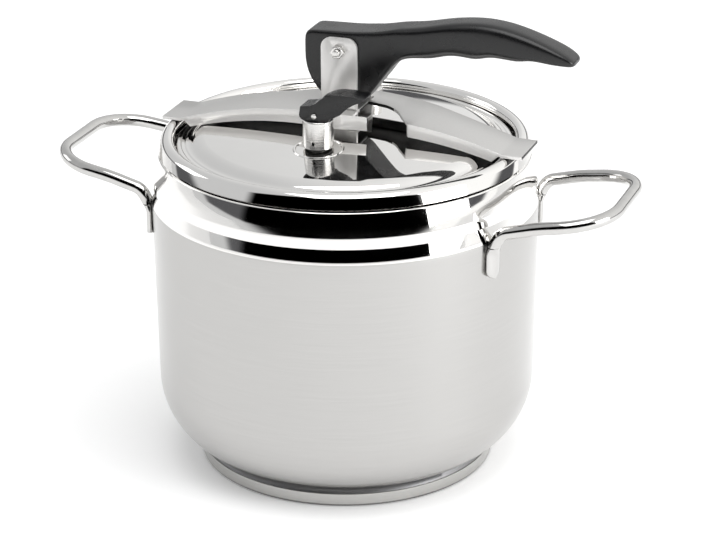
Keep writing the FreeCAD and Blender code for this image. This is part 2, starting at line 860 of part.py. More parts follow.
def valve_lever():
    """The small black lever: its heel turns on the pin and its thumb piece rises to one side."""
    body = new_body("valve_lever")
    at_valve(body)
    bind(body, ".Placement.Base.z", "valve_pin_height")
    sketch = new_sketch(body, "XZ_Plane")
    sole = "valve_top+0.3-valve_pin_height"
    start = ("0-8.9", "0.4")
    draw(
        sketch, start,
        ("0-5.6", sole, "3.3", 1),
        ("8", sole),
        ("9", "0-1.2"),
        ("15.2", "2.2"),
        ("23.7", "9.2", "30", -1),
        ("28.6", "11.2"),
        ("28.9", "12.4", "0.8", 1),
        ("15.8", "13.5", "50", 1),
        ("3", "9.6", "22", 1),
        ("0-2.4", "5.8", "12", -1),
        ("0-8.2", "4.9"),
        start)
    pad(body, sketch, "valve_lever_width", True)
    fork = new_sketch(body, "XY_Plane", "0-8")
    side = "needle_radius+0.2"
    start = ("0-12", "0-(%s)" % side)
    draw(fork, start, ("4.6", "0-(%s)" % side), ("4.6", side), ("0-12", side), start)
    pocket(body, fork, "11.6", reverse=True)
    pin_hole = new_sketch(body, "XZ_Plane")
    draw_circle(pin_hole, "0", "0", "valve_pin_radius+0.05")
    pocket(body, pin_hole, "40", True)


def valve_pin():
    body = new_body("valve_pin")
    at_valve(body)
    bind(body, ".Placement.Base.z", "valve_pin_height")
    sketch = new_sketch(body, "XZ_Plane")
    draw_circle(sketch, "0", "0", "valve_pin_radius")
    pad(body, sketch, "2*valve_pin_half", True)


# ------------------------------------------------------------------ safety valve

def safety_body():
    body = new_body("safety_body")
    at_valve(body, "safety")
    sketch = new_sketch(body, "XZ_Plane")
    seat = "valve_seat+washer_height"
    start = ("safety_steam", "valve_low")
    draw(
        sketch, start,
        ("valve_shank", "valve_low"),
        ("valve_shank", seat),
        ("safety_radius", seat),
        ("safety_radius", "safety_top-0.6"),
        ("safety_radius-0.6", "safety_top"),
        ("safety_cavity", "safety_top"),
        ("safety_cavity", "safety_seat+1.6"),
        ("safety_steam", "safety_seat"),
        start)
    revolve(body, sketch)


def safety_ball():
    ball = doc.addObject("Part::Sphere", "safety_ball")
    ball.Label = "safety_ball"
    bind(ball, "Radius", "safety_ball")
    bind(ball, ".Placement.Base.x", "safety_across")
    bind(ball, ".Placement.Base.y", "safety_along")
    bind(ball, ".Placement.Base.z", "safety_seat+ball_lift")
    parts.append(ball)


def safety_spring():
    low = number("safety_seat+ball_lift") + 1.47
    height = number("safety_top") - 2.4 - 0.05 - low
    wire = number("safety_wire")
    part = feature_part("safety_spring", coil(4, 2.1, wire, height))
    place = Vector(number("safety_across"), number("safety_along"), low + wire)
    part.Placement = Placement(place, Rotation())


def safety_screw():
    body = new_body("safety_screw")
    at_valve(body, "safety")
    sketch = new_sketch(body, "XY_Plane", "safety_top-2.4")
    draw_circle(sketch, "0", "0", "safety_cavity")
    draw_circle(sketch, "0", "0", "1.0")
    pad(body, sketch, "2.4")


pot_body()
pot_floor()
base_core()
base_cap()
loop_handle("handle_right", 1)
loop_handle("handle_left", -1)
lid()
lid_gasket()
bridge()
bracket()
bracket_rivets()
lever()
lever_bush()
pivot_bolt()
hex_nut("pivot_nut", "hex_flats", "bolt_radius", "bracket_inner+bracket_plate", "nut_height",
        Rotation(Vector(1, 0, 0), 90), ("bracket_centre", "0", "pivot_height"))
valve_body()
washer("valve_washer", "valve")
lid_under = "valve_seat-lid_sheet-valve_nut_height"
hex_nut("valve_nut", "valve_nut_flats", "valve_shank", lid_under, "valve_nut_height",
        Rotation(), ("valve_across", "valve_along", "0"))
valve_needle()
valve_spring()
valve_lever()
valve_pin()
safety_body()
washer("safety_washer", "safety")
hex_nut("safety_nut", "valve_nut_flats", "valve_shank", lid_under, "valve_nut_height",
        Rotation(), ("safety_across", "safety_along", "0"))
safety_ball()
safety_spring()
safety_screw()

doc.recompute()

for item in doc.Objects:
    if "Invalid" in item.State or "Error" in item.State:
        raise RuntimeError("%s failed: %s" % (item.Label, item.State))
for part in parts:
    if part.Shape.isNull() or not part.Shape.isValid():
        raise RuntimeError("%s has no valid shape" % part.Label)

os.makedirs("parts", exist_ok=True)
for part in parts:
    part.Shape.exportStep(os.path.join("parts", part.Label + ".step"))
    print("%-16s %10.1f mm3  %d solid(s)" % (part.Label, part.Shape.Volume, len(part.Shape.Solids)))
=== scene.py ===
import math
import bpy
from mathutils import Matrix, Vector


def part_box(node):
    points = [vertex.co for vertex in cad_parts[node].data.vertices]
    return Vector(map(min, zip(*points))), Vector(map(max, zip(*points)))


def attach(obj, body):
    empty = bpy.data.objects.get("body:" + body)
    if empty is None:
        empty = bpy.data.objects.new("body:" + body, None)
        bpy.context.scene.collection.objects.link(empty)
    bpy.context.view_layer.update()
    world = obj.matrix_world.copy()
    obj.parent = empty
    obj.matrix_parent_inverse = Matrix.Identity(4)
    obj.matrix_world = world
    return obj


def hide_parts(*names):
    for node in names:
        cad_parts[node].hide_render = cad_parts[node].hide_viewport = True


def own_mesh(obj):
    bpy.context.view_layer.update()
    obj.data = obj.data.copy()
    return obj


bl_info = {
    "name": "Lever pressure cooker",
    "version": (1, 0, 0),
    "blender": (4, 5, 0),
    "location": "View3D > Sidebar > Cooker",
    "description": "Builds a steel pressure cooker with a bridge and cam lever closure",
    "category": "Object",
}

import bmesh
import bpy
from mathutils import Matrix, Quaternion, Vector

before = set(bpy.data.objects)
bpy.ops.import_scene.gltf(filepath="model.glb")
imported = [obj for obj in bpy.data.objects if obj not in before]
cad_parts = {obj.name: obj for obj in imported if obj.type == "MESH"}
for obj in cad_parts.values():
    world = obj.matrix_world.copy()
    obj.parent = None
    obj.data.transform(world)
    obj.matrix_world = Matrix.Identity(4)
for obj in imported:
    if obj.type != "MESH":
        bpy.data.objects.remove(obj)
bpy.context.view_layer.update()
MM = 0.001


# ------------------------------------------------------------------ settings

class CookerSizes(bpy.types.PropertyGroup):
    """Sizes of the rounded and formed details"""

    wall_segments: bpy.props.IntProperty(
        name="Turned segments", description="Facets round the pot and the lid",
        default=256, min=32, max=512)
    sheet: bpy.props.FloatProperty(
        name="Pot sheet", description="Thickness of the pot's sheet",
        default=0.001, unit="LENGTH", precision=4)
    lid_sheet: bpy.props.FloatProperty(
        name="Lid sheet", description="Thickness of the lid's sheet",
        default=0.0012, unit="LENGTH", precision=4)
    bar_radius: bpy.props.FloatProperty(
        name="Handle rod radius", description="Radius of the round rod of the loop handles",
        default=0.00365, unit="LENGTH", precision=5)
    foot_flattening: bpy.props.FloatProperty(
        name="Foot flattening", description="How far the welded feet are pressed flat",
        default=0.45, min=0.0, max=0.8, subtype="FACTOR")
    edge_softness: bpy.props.FloatProperty(
        name="Plate edge radius", description="Radius on the edges of the pressed plates",
        default=0.0004, unit="LENGTH", precision=5)
    lever_half_width: bpy.props.FloatProperty(
        name="Lever half width", description="Half the width of the closing lever",
        default=0.0107, unit="LENGTH", precision=5)


class CookerColours(bpy.types.PropertyGroup):
    """Colours of the finishes and of the stage"""

    steel: bpy.props.FloatVectorProperty(
        name="Steel", description="Reflection colour of the stainless steel",
        default=(0.80, 0.79, 0.775), subtype="COLOR", min=0.0, max=1.0)
    base_steel: bpy.props.FloatVectorProperty(
        name="Base steel", description="Reflection colour of the base cap",
        default=(0.56, 0.555, 0.54), subtype="COLOR", min=0.0, max=1.0)
    bakelite: bpy.props.FloatVectorProperty(
        name="Bakelite", description="Colour of the black levers",
        default=(0.012, 0.012, 0.013), subtype="COLOR", min=0.0, max=1.0)
    floor: bpy.props.FloatVectorProperty(
        name="Floor", description="Colour of the floor",
        default=(0.93, 0.93, 0.93), subtype="COLOR", min=0.0, max=1.0)


def sizes():
    return bpy.context.scene.cooker_sizes


def colours():
    return bpy.context.scene.cooker_colours


# ------------------------------------------------------------------ materials

# The frame brings plain materials of the same names, so the finishes made here carry a suffix.
OWN = "_finish"


class Finish:
    """A material under construction: its node tree and its surface shader."""

    def __init__(self, name):
        self.material = bpy.data.materials.new(name + OWN)
        self.material.use_nodes = True
        self.tree = self.material.node_tree
        self.shader = self.tree.nodes["Principled BSDF"]

    def node(self, kind, **inputs):
        item = self.tree.nodes.new(kind)
        for key, value in inputs.items():
            name = key.replace("_", " ").title()
            item.inputs[name].default_value = value
        return item

    def link(self, source, target):
        self.tree.links.new(source, target)

    def stretched(self, scale):
        """Object coordinates scaled by three numbers, for grain that runs one way."""
        where = self.node("ShaderNodeTexCoord")
        mapping = self.node("ShaderNodeMapping")
        mapping.inputs["Scale"].default_value = scale
        self.link(where.outputs["Object"], mapping.inputs["Vector"])
        return mapping.outputs["Vector"]

    def noise(self, vector, scale, detail=2.0, rough=0.5):
        item = self.node("ShaderNodeTexNoise", scale=scale, detail=detail, roughness=rough)
        self.link(vector, item.inputs["Vector"])
        return item.outputs["Fac"]

    def spread(self, value, low, high, from_low=0.3, from_high=0.7):
        item = self.node("ShaderNodeMapRange")
        item.inputs["From Min"].default_value = from_low
        item.inputs["From Max"].default_value = from_high
        item.inputs["To Min"].default_value = low
        item.inputs["To Max"].default_value = high
        self.link(value, item.inputs["Value"])
        return item.outputs["Result"]

    def mix_colour(self, factor, first, second):
        item = self.tree.nodes.new("ShaderNodeMix")
        item.data_type = "RGBA"
        item.inputs["A"].default_value = (*first, 1.0)
        item.inputs["B"].default_value = (*second, 1.0)
        self.link(factor, item.inputs["Factor"])
        return item.outputs["Result"]

    def bump(self, height, strength, distance, under=None):
        item = self.node("ShaderNodeBump", strength=strength, distance=distance)
        self.link(height, item.inputs["Height"])
        if under is not None:
            self.link(under, item.inputs["Normal"])
        return item.outputs["Normal"]

    def set(self, **inputs):
        for key, value in inputs.items():
            self.shader.inputs[key.replace("_", " ")].default_value = value


def tint(colour, factor):
    return tuple(min(1.0, c * factor) for c in colour)


def polished_steel():
    """Mirror polish with the faint haze and wipe marks of handled steel."""
    f = Finish("polished_steel")
    f.set(Metallic=1.0)
    haze = f.noise(f.stretched((9, 9, 22)), 3.0, 4.0, 0.6)
    f.link(f.mix_colour(haze, tint(colours().steel, 1.06), tint(colours().steel, 1.14)),
           f.shader.inputs["Base Color"])
    f.link(f.spread(haze, 0.02, 0.055), f.shader.inputs["Roughness"])
    wipe = f.noise(f.stretched((60, 60, 900)), 2.0, 3.0)
    f.link(f.bump(wipe, 0.03, 0.00001), f.shader.inputs["Normal"])
    return f.material


def satin_wall():
    """Satin steel with turned brushing round the pot."""
    f = Finish("satin_wall")
    f.set(Metallic=1.0)
    cloud = f.noise(f.stretched((6, 6, 9)), 2.0, 3.0)
    streak = f.noise(f.stretched((25, 25, 4200)), 1.0, 4.0, 0.7)
    f.link(f.mix_colour(streak, tint(colours().steel, 0.55), tint(colours().steel, 0.69)),
           f.shader.inputs["Base Color"])
    f.link(f.spread(cloud, 0.18, 0.25), f.shader.inputs["Roughness"])
    f.link(f.bump(streak, 0.16, 0.00003), f.shader.inputs["Normal"])
    return f.material


def satin_plate():
    """Satin steel with straight brushing along the plate."""
    f = Finish("satin_plate")
    f.set(Metallic=0.8)
    streak = f.noise(f.stretched((30, 3000, 3000)), 1.0, 4.0, 0.7)
    cloud = f.noise(f.stretched((12, 12, 12)), 2.0, 3.0)
    f.link(f.mix_colour(streak, tint(colours().steel, 0.72), tint(colours().steel, 0.88)),
           f.shader.inputs["Base Color"])
    f.link(f.spread(cloud, 0.34, 0.44), f.shader.inputs["Roughness"])
    f.link(f.bump(streak, 0.2, 0.00004), f.shader.inputs["Normal"])
    return f.material


def flange_painted_sheen():
    """Lightly polished steel of the bridge's flanges, coloured near white and barely metallic: a
    painted sheen gives their soft, milky look.
    """
    f = Finish("flange_painted_sheen")
    f.set(Metallic=0.12)
    haze = f.noise(f.stretched((30, 30, 60)), 3.0, 4.0, 0.6)
    f.link(f.mix_colour(haze, tint(colours().steel, 1.08), tint(colours().steel, 1.2)),
           f.shader.inputs["Base Color"])
    f.link(f.spread(haze, 0.10, 0.18), f.shader.inputs["Roughness"])
    wipe = f.noise(f.stretched((400, 60, 60)), 2.0, 3.0)
    f.link(f.bump(wipe, 0.05, 0.00002), f.shader.inputs["Normal"])
    return f.material


def underside_painted_shade():
    """Unpolished steel under the bridge, coloured near black: painted shade in the hollow beneath
    it.
    """
    f = Finish("underside_painted_shade")
    f.set(Metallic=0.9)
    haze = f.noise(f.stretched((80, 80, 80)), 3.0, 4.0, 0.6)
    f.link(f.mix_colour(haze, (0.03, 0.03, 0.03), (0.07, 0.07, 0.07)),
           f.shader.inputs["Base Color"])
    f.link(f.spread(haze, 0.35, 0.5), f.shader.inputs["Roughness"])
    f.link(f.bump(haze, 0.1, 0.0001), f.shader.inputs["Normal"])
    return f.material


def bracket_satin():
    """Fine upright brushing of the bracket's plates."""
    f = Finish("bracket_satin")
    f.set(Metallic=0.75)
    streak = f.noise(f.stretched((3000, 3000, 40)), 1.0, 4.0, 0.7)
    f.link(f.mix_colour(streak, tint(colours().steel, 1.02), tint(colours().steel, 1.14)),
           f.shader.inputs["Base Color"])
    f.link(f.spread(streak, 0.34, 0.46), f.shader.inputs["Roughness"])
    f.link(f.bump(streak, 0.15, 0.00004), f.shader.inputs["Normal"])
    return f.material


def rod_polish():
    """Drawn and polished rod, a little greyer than the rim."""
    f = Finish("rod_polish")
    f.set(Metallic=1.0)
    haze = f.noise(f.stretched((50, 50, 50)), 3.0, 4.0, 0.6)
    f.link(f.mix_colour(haze, tint(colours().steel, 0.66), tint(colours().steel, 0.80)),
           f.shader.inputs["Base Color"])
    f.link(f.spread(haze, 0.06, 0.12), f.shader.inputs["Roughness"])
    f.link(f.bump(haze, 0.05, 0.00003), f.shader.inputs["Normal"])
    return f.material


def base_satin():
    """Greyer turned steel of the base cap, with a painted contact shadow: near black along its
    lowest edge.
    """
    f = Finish("base_satin")
    f.set(Metallic=1.0)
    streak = f.noise(f.stretched((40, 40, 3600)), 1.0, 4.0, 0.7)
    # Painted contact shadow: the colour is multiplied down to near black from 1.7 mm to 0.4 mm
    # above the cap's bottom, where it meets the floor.
    where = f.node("ShaderNodeTexCoord")
    split = f.node("ShaderNodeSeparateXYZ")
    f.link(where.outputs["Object"], split.inputs["Vector"])
    contact_shadow_mask = f.spread(split.outputs["Z"], 0.0, 1.0, 0.0004, 0.0017)
    steel = f.mix_colour(streak, tint(colours().base_steel, 0.85), tint(colours().base_steel, 1.1))
    edge = f.mix_colour(contact_shadow_mask, (0.02, 0.02, 0.02), (1.0, 1.0, 1.0))
    shade = f.tree.nodes.new("ShaderNodeMix")
    shade.data_type = "RGBA"
    shade.blend_type = "MULTIPLY"
    shade.inputs["Factor"].default_value = 1.0
    f.link(steel, shade.inputs["A"])
    f.link(edge, shade.inputs["B"])
    f.link(shade.outputs["Result"], f.shader.inputs["Base Color"])
    f.link(f.spread(streak, 0.26, 0.40), f.shader.inputs["Roughness"])
    f.link(f.bump(streak, 0.2, 0.00004), f.shader.inputs["Normal"])
    return f.material


def turned_metal():
    """Lathe-turned steel with fine rings."""
    f = Finish("turned_metal")
    f.set(Metallic=1.0)
    rings = f.noise(f.stretched((10, 10, 5200)), 1.0, 3.0, 0.6)
    f.link(f.mix_colour(rings, tint(colours().steel, 0.82), tint(colours().steel, 1.0)),
           f.shader.inputs["Base Color"])
    f.link(f.spread(rings, 0.16, 0.30), f.shader.inputs["Roughness"])
    f.link(f.bump(rings, 0.25, 0.00004), f.shader.inputs["Normal"])
    return f.material


def core_painted_shade():
    # Aluminium coloured dark grey: painted shade for the shadow line between the pot's floor and
    # the base cap.
    f = Finish("core_aluminium")
    f.set(Metallic=1.0)
    grain = f.noise(f.stretched((300, 300, 300)), 3.0, 4.0)
    f.link(f.mix_colour(grain, (0.20, 0.20, 0.205), (0.34, 0.34, 0.345)),
           f.shader.inputs["Base Color"])
    f.link(f.spread(grain, 0.42, 0.60), f.shader.inputs["Roughness"])
    f.link(f.bump(grain, 0.2, 0.0001), f.shader.inputs["Normal"])
    return f.material


def turned_brass():
    f = Finish("turned_brass")
    f.set(Metallic=1.0)
    rings = f.noise(f.stretched((30, 30, 5200)), 1.0, 3.0)
    f.link(f.mix_colour(rings, (0.60, 0.44, 0.18), (0.74, 0.58, 0.28)),
           f.shader.inputs["Base Color"])
    f.link(f.spread(rings, 0.22, 0.38), f.shader.inputs["Roughness"])
    f.link(f.bump(rings, 0.25, 0.00004), f.shader.inputs["Normal"])
    return f.material


def black_bakelite():
    """Moulded black bakelite: fine grain, slight sheen and paler rubbed patches."""
    f = Finish("black_bakelite")
    f.set(Specular_IOR_Level=0.5)
    grain = f.noise(f.stretched((1, 1, 1)), 1500.0, 3.0, 0.6)
    rub = f.noise(f.stretched((1, 1, 1)), 55.0, 3.0, 0.6)
    f.link(f.mix_colour(rub, tint(colours().bakelite, 0.3), tint(colours().bakelite, 0.8)),
           f.shader.inputs["Base Color"])
    f.link(f.spread(rub, 0.20, 0.32), f.shader.inputs["Roughness"])
    f.link(f.bump(grain, 0.4, 0.00012), f.shader.inputs["Normal"])
    return f.material


def black_rubber():
    f = Finish("black_rubber")
    grain = f.noise(f.stretched((1, 1, 1)), 900.0, 3.0)
    f.link(f.mix_colour(grain, (0.012, 0.012, 0.012), (0.03, 0.03, 0.03)),
           f.shader.inputs["Base Color"])
    f.link(f.spread(grain, 0.60, 0.78), f.shader.inputs["Roughness"])
    f.link(f.bump(grain, 0.3, 0.0001), f.shader.inputs["Normal"])
    return f.material


def pale_floor():
    """Plain pale paper, the same wherever and however it is seen."""
    f = Finish("pale_floor")
    grain = f.noise(f.stretched((1, 1, 1)), 4.0, 3.0)
    f.link(f.mix_colour(grain, tint(colours().floor, 0.99), tint(colours().floor, 1.01)),
           f.shader.inputs["Base Color"])
    f.set(Roughness=0.7, Emission_Color=(1.0, 1.0, 1.0, 1.0), Emission_Strength=0.2)
    return f.material


MAKERS = {
    "polished_steel": polished_steel,
    "satin_wall": satin_wall,
    "satin_plate": satin_plate,
    "flange_painted_sheen": flange_painted_sheen,
    "rod_polish": rod_polish,
    "underside_painted_shade": underside_painted_shade,
    "bracket_satin": bracket_satin,
    "base_satin": base_satin,
    "turned_metal": turned_metal,
    "core_aluminium": core_painted_shade,
    "turned_brass": turned_brass,
    "black_bakelite": black_bakelite,
    "black_rubber": black_rubber,
    "pale_floor": pale_floor,
}


def finish(name):
    return bpy.data.materials.get(name + OWN) or MAKERS[name]()


# ------------------------------------------------------------------ mesh helpers

def place(bm, name, materials, sharp=35.0):
    """Turn a bmesh into a smooth-shaded object of the scene."""
    mesh = bpy.data.meshes.new(name)
    bm.to_mesh(mesh)
    bm.free()
    for material in materials:
        mesh.materials.append(finish(material))
    mesh.shade_smooth()
    mesh.set_sharp_from_angle(angle=math.radians(sharp))
    piece = bpy.data.objects.new(name, mesh)
    bpy.context.scene.collection.objects.link(piece)
    return piece


def settle(piece, body, slot, *nodes):
    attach(piece, body)
    if nodes:
        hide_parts(*nodes)
    return piece


def turned(profile, segments, outward):
    """Spin a profile about Z. Its points are (radius, height, corner) in millimetres, where the
    corner is the length taken off each side of it. The innermost face points `outward`."""
    bm = bmesh.new()
    verts = [bm.verts.new((r * MM, 0.0, z * MM)) for r, z, _ in profile]
    for a, b in zip(verts, verts[1:]):
        bm.edges.new((a, b))
    for vert, (_, _, corner) in zip(verts, profile):
        if corner > 0:
            bmesh.ops.bevel(
                bm, geom=[vert], offset=corner * MM, offset_type="OFFSET",
                segments=max(4, int(corner * 1.2)), profile=0.5, affect="VERTICES", material=-1)
    bmesh.ops.spin(
        bm, geom=bm.verts[:] + bm.edges[:], cent=(0, 0, 0), axis=(0, 0, 1),
        angle=math.tau, steps=segments, use_merge=True, use_normal_flip=False,
        use_duplicate=False)
    bmesh.ops.remove_doubles(bm, verts=bm.verts[:], dist=1e-6)
    bmesh.ops.recalc_face_normals(bm, faces=bm.faces[:])
    bm.faces.ensure_lookup_table()
    first = min(bm.faces, key=lambda f: f.calc_center_median().xy.length)
    if first.normal.dot(Vector(outward)) < 0:
        bmesh.ops.reverse_faces(bm, faces=bm.faces[:])
    return bm


def thicken(piece, thickness):
    """Give a sheet its wall. The cut edges are sharp, and broad faces rule the shading."""
    bm = bmesh.new()
    bm.from_mesh(piece.data)
    for edge in bm.edges:
        if edge.is_boundary:
            edge.smooth = False
    bm.to_mesh(piece.data)
    bm.free()
    wall = piece.modifiers.new("sheet", "SOLIDIFY")
    wall.thickness = thickness
    wall.offset = -1.0
    wall.use_even_offset = True
    wall.use_quality_normals = True
    shading = piece.modifiers.new("even_shading", "WEIGHTED_NORMAL")
    shading.keep_sharp = True


def merged_copy(node):
    """A bmesh of a CAD node with its triangles joined and flat areas made whole."""
    bm = bmesh.new()
    bm.from_mesh(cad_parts[node].data)
    bmesh.ops.remove_doubles(bm, verts=bm.verts[:], dist=2e-6)
    bmesh.ops.dissolve_limit(
        bm, angle_limit=math.radians(0.6), use_dissolve_boundaries=False,
        verts=bm.verts[:], edges=bm.edges[:])
    return bm


def soften(bm, width, segments, least=35.0):
    """Round the sharp edges."""
    sharp = [e for e in bm.edges
             if len(e.link_faces) == 2 and e.calc_face_angle(0.0) > math.radians(least)]
    bmesh.ops.bevel(
        bm, geom=sharp, offset=width, offset_type="OFFSET", segments=segments,
        profile=0.5, affect="EDGES", clamp_overlap=True, material=-1)


def soft_copy(node, body, slot, material, width, segments=2):
    """A finished copy of a CAD node, with its sharp edges rounded by `width`, in metres."""
    bm = merged_copy(node)
    if width > 0:
        soften(bm, width, segments)
    piece = place(bm, node + "_finished", [material], 40.0)
    return settle(piece, body, slot, node)


def coil_spring(node):
    """A copy of a spring with a mesh of its own."""
    piece = soft_copy(node, "lid_unit", "turned_metal", "turned_metal", 0.0)
    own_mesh(piece)
    return piece


# ------------------------------------------------------------------ operators

class COOKER_OT_pot_shell(bpy.types.Operator):
    """Deep-drawn pot: satin wall, step line, polished shoulder and rolled rim"""

    bl_idname = "cooker.pot_shell"
    bl_label = "Pot shell"

    FLOOR_AND_WALL = [(0, 6.3, 0), (109.0, 6.3, 43.6), (111.4, 157.6, 2.0)]
    STEP = [(109.2, 166.2, 0.3), (110.5, 166.7, 0.3)]
    SHOULDER = [(110.4, 171.6, 1.2), (108.7, 179.4, 3.0), (106.9, 185.9, 0.4), (105.0, 186.9, 0.4)]
    ROLLED_RIM = [(98.6, 186.9, 2.4), (98.6, 194.9, 2.2), (103.4, 194.9, 2.4), (106.2, 187.6, 0)]
    POLISHED_FROM = 157.2 * MM

    def execute(self, context):
        profile = self.FLOOR_AND_WALL + self.STEP + self.SHOULDER + self.ROLLED_RIM
        bm = turned(profile, sizes().wall_segments, (0, 0, -1))
        for face in bm.faces:
            if face.calc_center_median().z > self.POLISHED_FROM:
                face.material_index = 1
        piece = place(bm, "pot_shell", ["satin_wall", "polished_steel"], 50.0)
        thicken(piece, sizes().sheet)
        settle(piece, "pot", "satin_wall", "pot_body", "pot_floor")
        return {"FINISHED"}


class COOKER_OT_base(bpy.types.Operator):
    """Sandwich base: turned steel cap and aluminium core"""

    bl_idname = "cooker.base"
    bl_label = "Base"

    def execute(self, context):
        soft_copy("base_cap", "pot", "base_steel", "base_satin", 0.0)
        soft_copy("base_core", "pot", "core_aluminium", "core_aluminium", 0.0)
        return {"FINISHED"}


class COOKER_OT_handles(bpy.types.Operator):
    """Two loop handles of round rod with flattened feet welded to the wall"""

    bl_idname = "cooker.handles"
    bl_label = "Loop handles"

    LEG_ANGLE = math.radians(23.5)
    LEG_RADIUS = 114.25 * MM
    FOOT, BEND = 137.0 * MM, 162.6 * MM
    KNEE_REACH, KNEE_HEIGHT, KNEE_INSET = 128.0 * MM, 168.6 * MM, 0.6 * MM
    TIP_REACH, TIP_HEIGHT, TIP_INSET = 166.55 * MM, 174.5 * MM, 3 * MM
    BEND_CORNER, KNEE_CORNER, TIP_CORNER = 7.0 * MM, 4.6 * MM, 26.5 * MM

    def execute(self, context):
        for node, side in (("handle_right", 1), ("handle_left", -1)):
            self.loop(node, side)
        return {"FINISHED"}

    def loop(self, node, side):
        bm = bmesh.new()
        bm.from_mesh(self.rod_along(self.wire()))
        bmesh.ops.remove_doubles(bm, verts=bm.verts[:], dist=1e-6)
        self.press_feet(bm)
        if side < 0:
            bmesh.ops.rotate(bm, verts=bm.verts[:], cent=(0, 0, 0),
                             matrix=Matrix.Rotation(math.pi, 3, "Z"))
        bmesh.ops.recalc_face_normals(bm, faces=bm.faces[:])
        piece = place(bm, node + "_rod", ["rod_polish"], 50.0)
        settle(piece, "pot", "polished_steel", node)

    def wire(self):
        """The rod's centre line: foot, bend, knee and tip, and back down the other side."""
        x_leg = self.LEG_RADIUS * math.cos(self.LEG_ANGLE)
        y_leg = self.LEG_RADIUS * math.sin(self.LEG_ANGLE)
        half = [(x_leg, y_leg, self.FOOT), (x_leg, y_leg, self.BEND),
                (self.KNEE_REACH, y_leg - self.KNEE_INSET, self.KNEE_HEIGHT),
                (self.TIP_REACH, y_leg - self.TIP_INSET, self.TIP_HEIGHT)]
        route = [(x, -y, z) for x, y, z in half] + half[::-1]
        bm = bmesh.new()
        verts = [bm.verts.new(p) for p in route]
        for a, b in zip(verts, verts[1:]):
            bm.edges.new((a, b))
        corners = (self.BEND_CORNER, self.KNEE_CORNER, self.TIP_CORNER)
        for vert, corner in zip(verts[1:-1], corners + corners[::-1]):
            bmesh.ops.bevel(
                bm, geom=[vert], offset=corner, offset_type="OFFSET",
                segments=14, profile=0.5, affect="VERTICES", material=-1)
        legs = [e for e in bm.edges if min(v.co.z for v in e.verts) < self.FOOT + MM]
        bmesh.ops.subdivide_edges(bm, edges=legs, cuts=28, use_grid_fill=False)
        mesh = bpy.data.meshes.new("loop_wire")
        bm.to_mesh(mesh)
        bm.free()
        return mesh

    def rod_along(self, wire):
        """A round rod along the wire, as a mesh."""
        rod = bpy.data.objects.new("loop_rod", wire)
        context = bpy.context
        context.scene.collection.objects.link(rod)
        with context.temp_override(object=rod, active_object=rod, selected_objects=[rod],
                                   selected_editable_objects=[rod]):
            context.view_layer.objects.active = rod
            rod.select_set(True)
            bpy.ops.object.convert(target="CURVE")
        rod.data.bevel_depth = sizes().bar_radius
        rod.data.bevel_resolution = 7
        rod.data.use_fill_caps = True
        rod.data.twist_mode = "Z_UP"
        graph = context.evaluated_depsgraph_get()
        mesh = bpy.data.meshes.new_from_object(rod.evaluated_get(graph))
        bpy.data.objects.remove(rod)
        return mesh

    def press_feet(self, bm):
        """Press the ends of the rod flat and wide where they meet the wall."""
        flat, bar = sizes().foot_flattening, sizes().bar_radius
        start, full, round_from = 158.5 * MM, 150.0 * MM, self.FOOT + 5.0 * MM
        for vert in bm.verts:
            if vert.co.z > start or vert.co.xy.length > self.LEG_RADIUS + 8 * MM:
                continue
            side = 1 if vert.co.y > 0 else -1
            out = Vector((math.cos(self.LEG_ANGLE), side * math.sin(self.LEG_ANGLE)))
            along = Vector((-out.y, out.x))
            offset = vert.co.xy - out * self.LEG_RADIUS
            part = min(1.0, max(0.0, (start - vert.co.z) / (start - full)))
            part = part * part * (3 - 2 * part)
            radial = offset.dot(out) * (1 - flat * part) - bar * flat * part * 0.86
            across = offset.dot(along) * (1 + 0.46 * part)
            if vert.co.z < round_from:
                down = (round_from - vert.co.z) / (round_from - self.FOOT)
                across *= math.sqrt(max(0.0, 1 - 0.96 * down * down))
            vert.co.xy = out * (self.LEG_RADIUS + radial) + along * across


class COOKER_OT_lid(bpy.types.Operator):
    """Polished domed lid with its stepped rim and rubber gasket"""

    bl_idname = "cooker.lid"
    bl_label = "Lid and gasket"

    DOME_TOP = 202.2
    DOME_RADIUS = 492.0 * MM
    DOME = [(0, DOME_TOP, 0), (41.0, DOME_TOP, 40.0), (84.4, 195.1, 3.6)]
    CHANNEL = [(88.2, 191.5, 1.6), (91.0, 191.3, 0.4), (91.5, 190.9, 0.3), (93.4, 190.9, 0.3),
               (93.9, 191.2, 0.3)]
    EDGE = [(96.4, 191.2, 1.2), (96.4, 184.0, 0.8), (104.2, 184.0, 0)]
    SEAT_RING = [(12.5, -0.5, 0), (12.9, 0.25, 0.1), (14.0, 0.25, 0.1), (14.5, -0.5, 0)]

    def execute(self, context):
        profile = self.DOME + self.CHANNEL + self.EDGE
        bm = turned(profile, sizes().wall_segments, (0, 0, 1))
        piece = place(bm, "lid_shell", ["polished_steel"], 50.0)
        thicken(piece, sizes().lid_sheet)
        settle(piece, "lid_unit", "polished_steel", "lid")
        self.seat_rings()
        soft_copy("lid_gasket", "lid_unit", "gasket_rubber", "black_rubber", 0.0)
        return {"FINISHED"}

    def seat_rings(self):
        """Low rings pressed into the dome round the two valves."""
        for body_node, name in (("valve_body", "valve_seat_ring"),
                                ("safety_body", "safety_seat_ring")):
            low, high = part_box(body_node)
            axis = (low + high) / 2
            lean = Vector((0, 0, 1)).rotation_difference(
                Vector((axis.x, axis.y, self.DOME_RADIUS)).normalized())
            reach = axis.xy.length
            height = self.DOME_TOP * MM - reach * reach / (2 * self.DOME_RADIUS)
            bm = turned(self.SEAT_RING, 96, (0, 0, 1))
            bm.transform(Matrix.Translation((axis.x, axis.y, height))
                         @ lean.to_matrix().to_4x4())
            ring = place(bm, name, ["polished_steel"], 50.0)
            settle(ring, "lid_unit", "polished_steel")


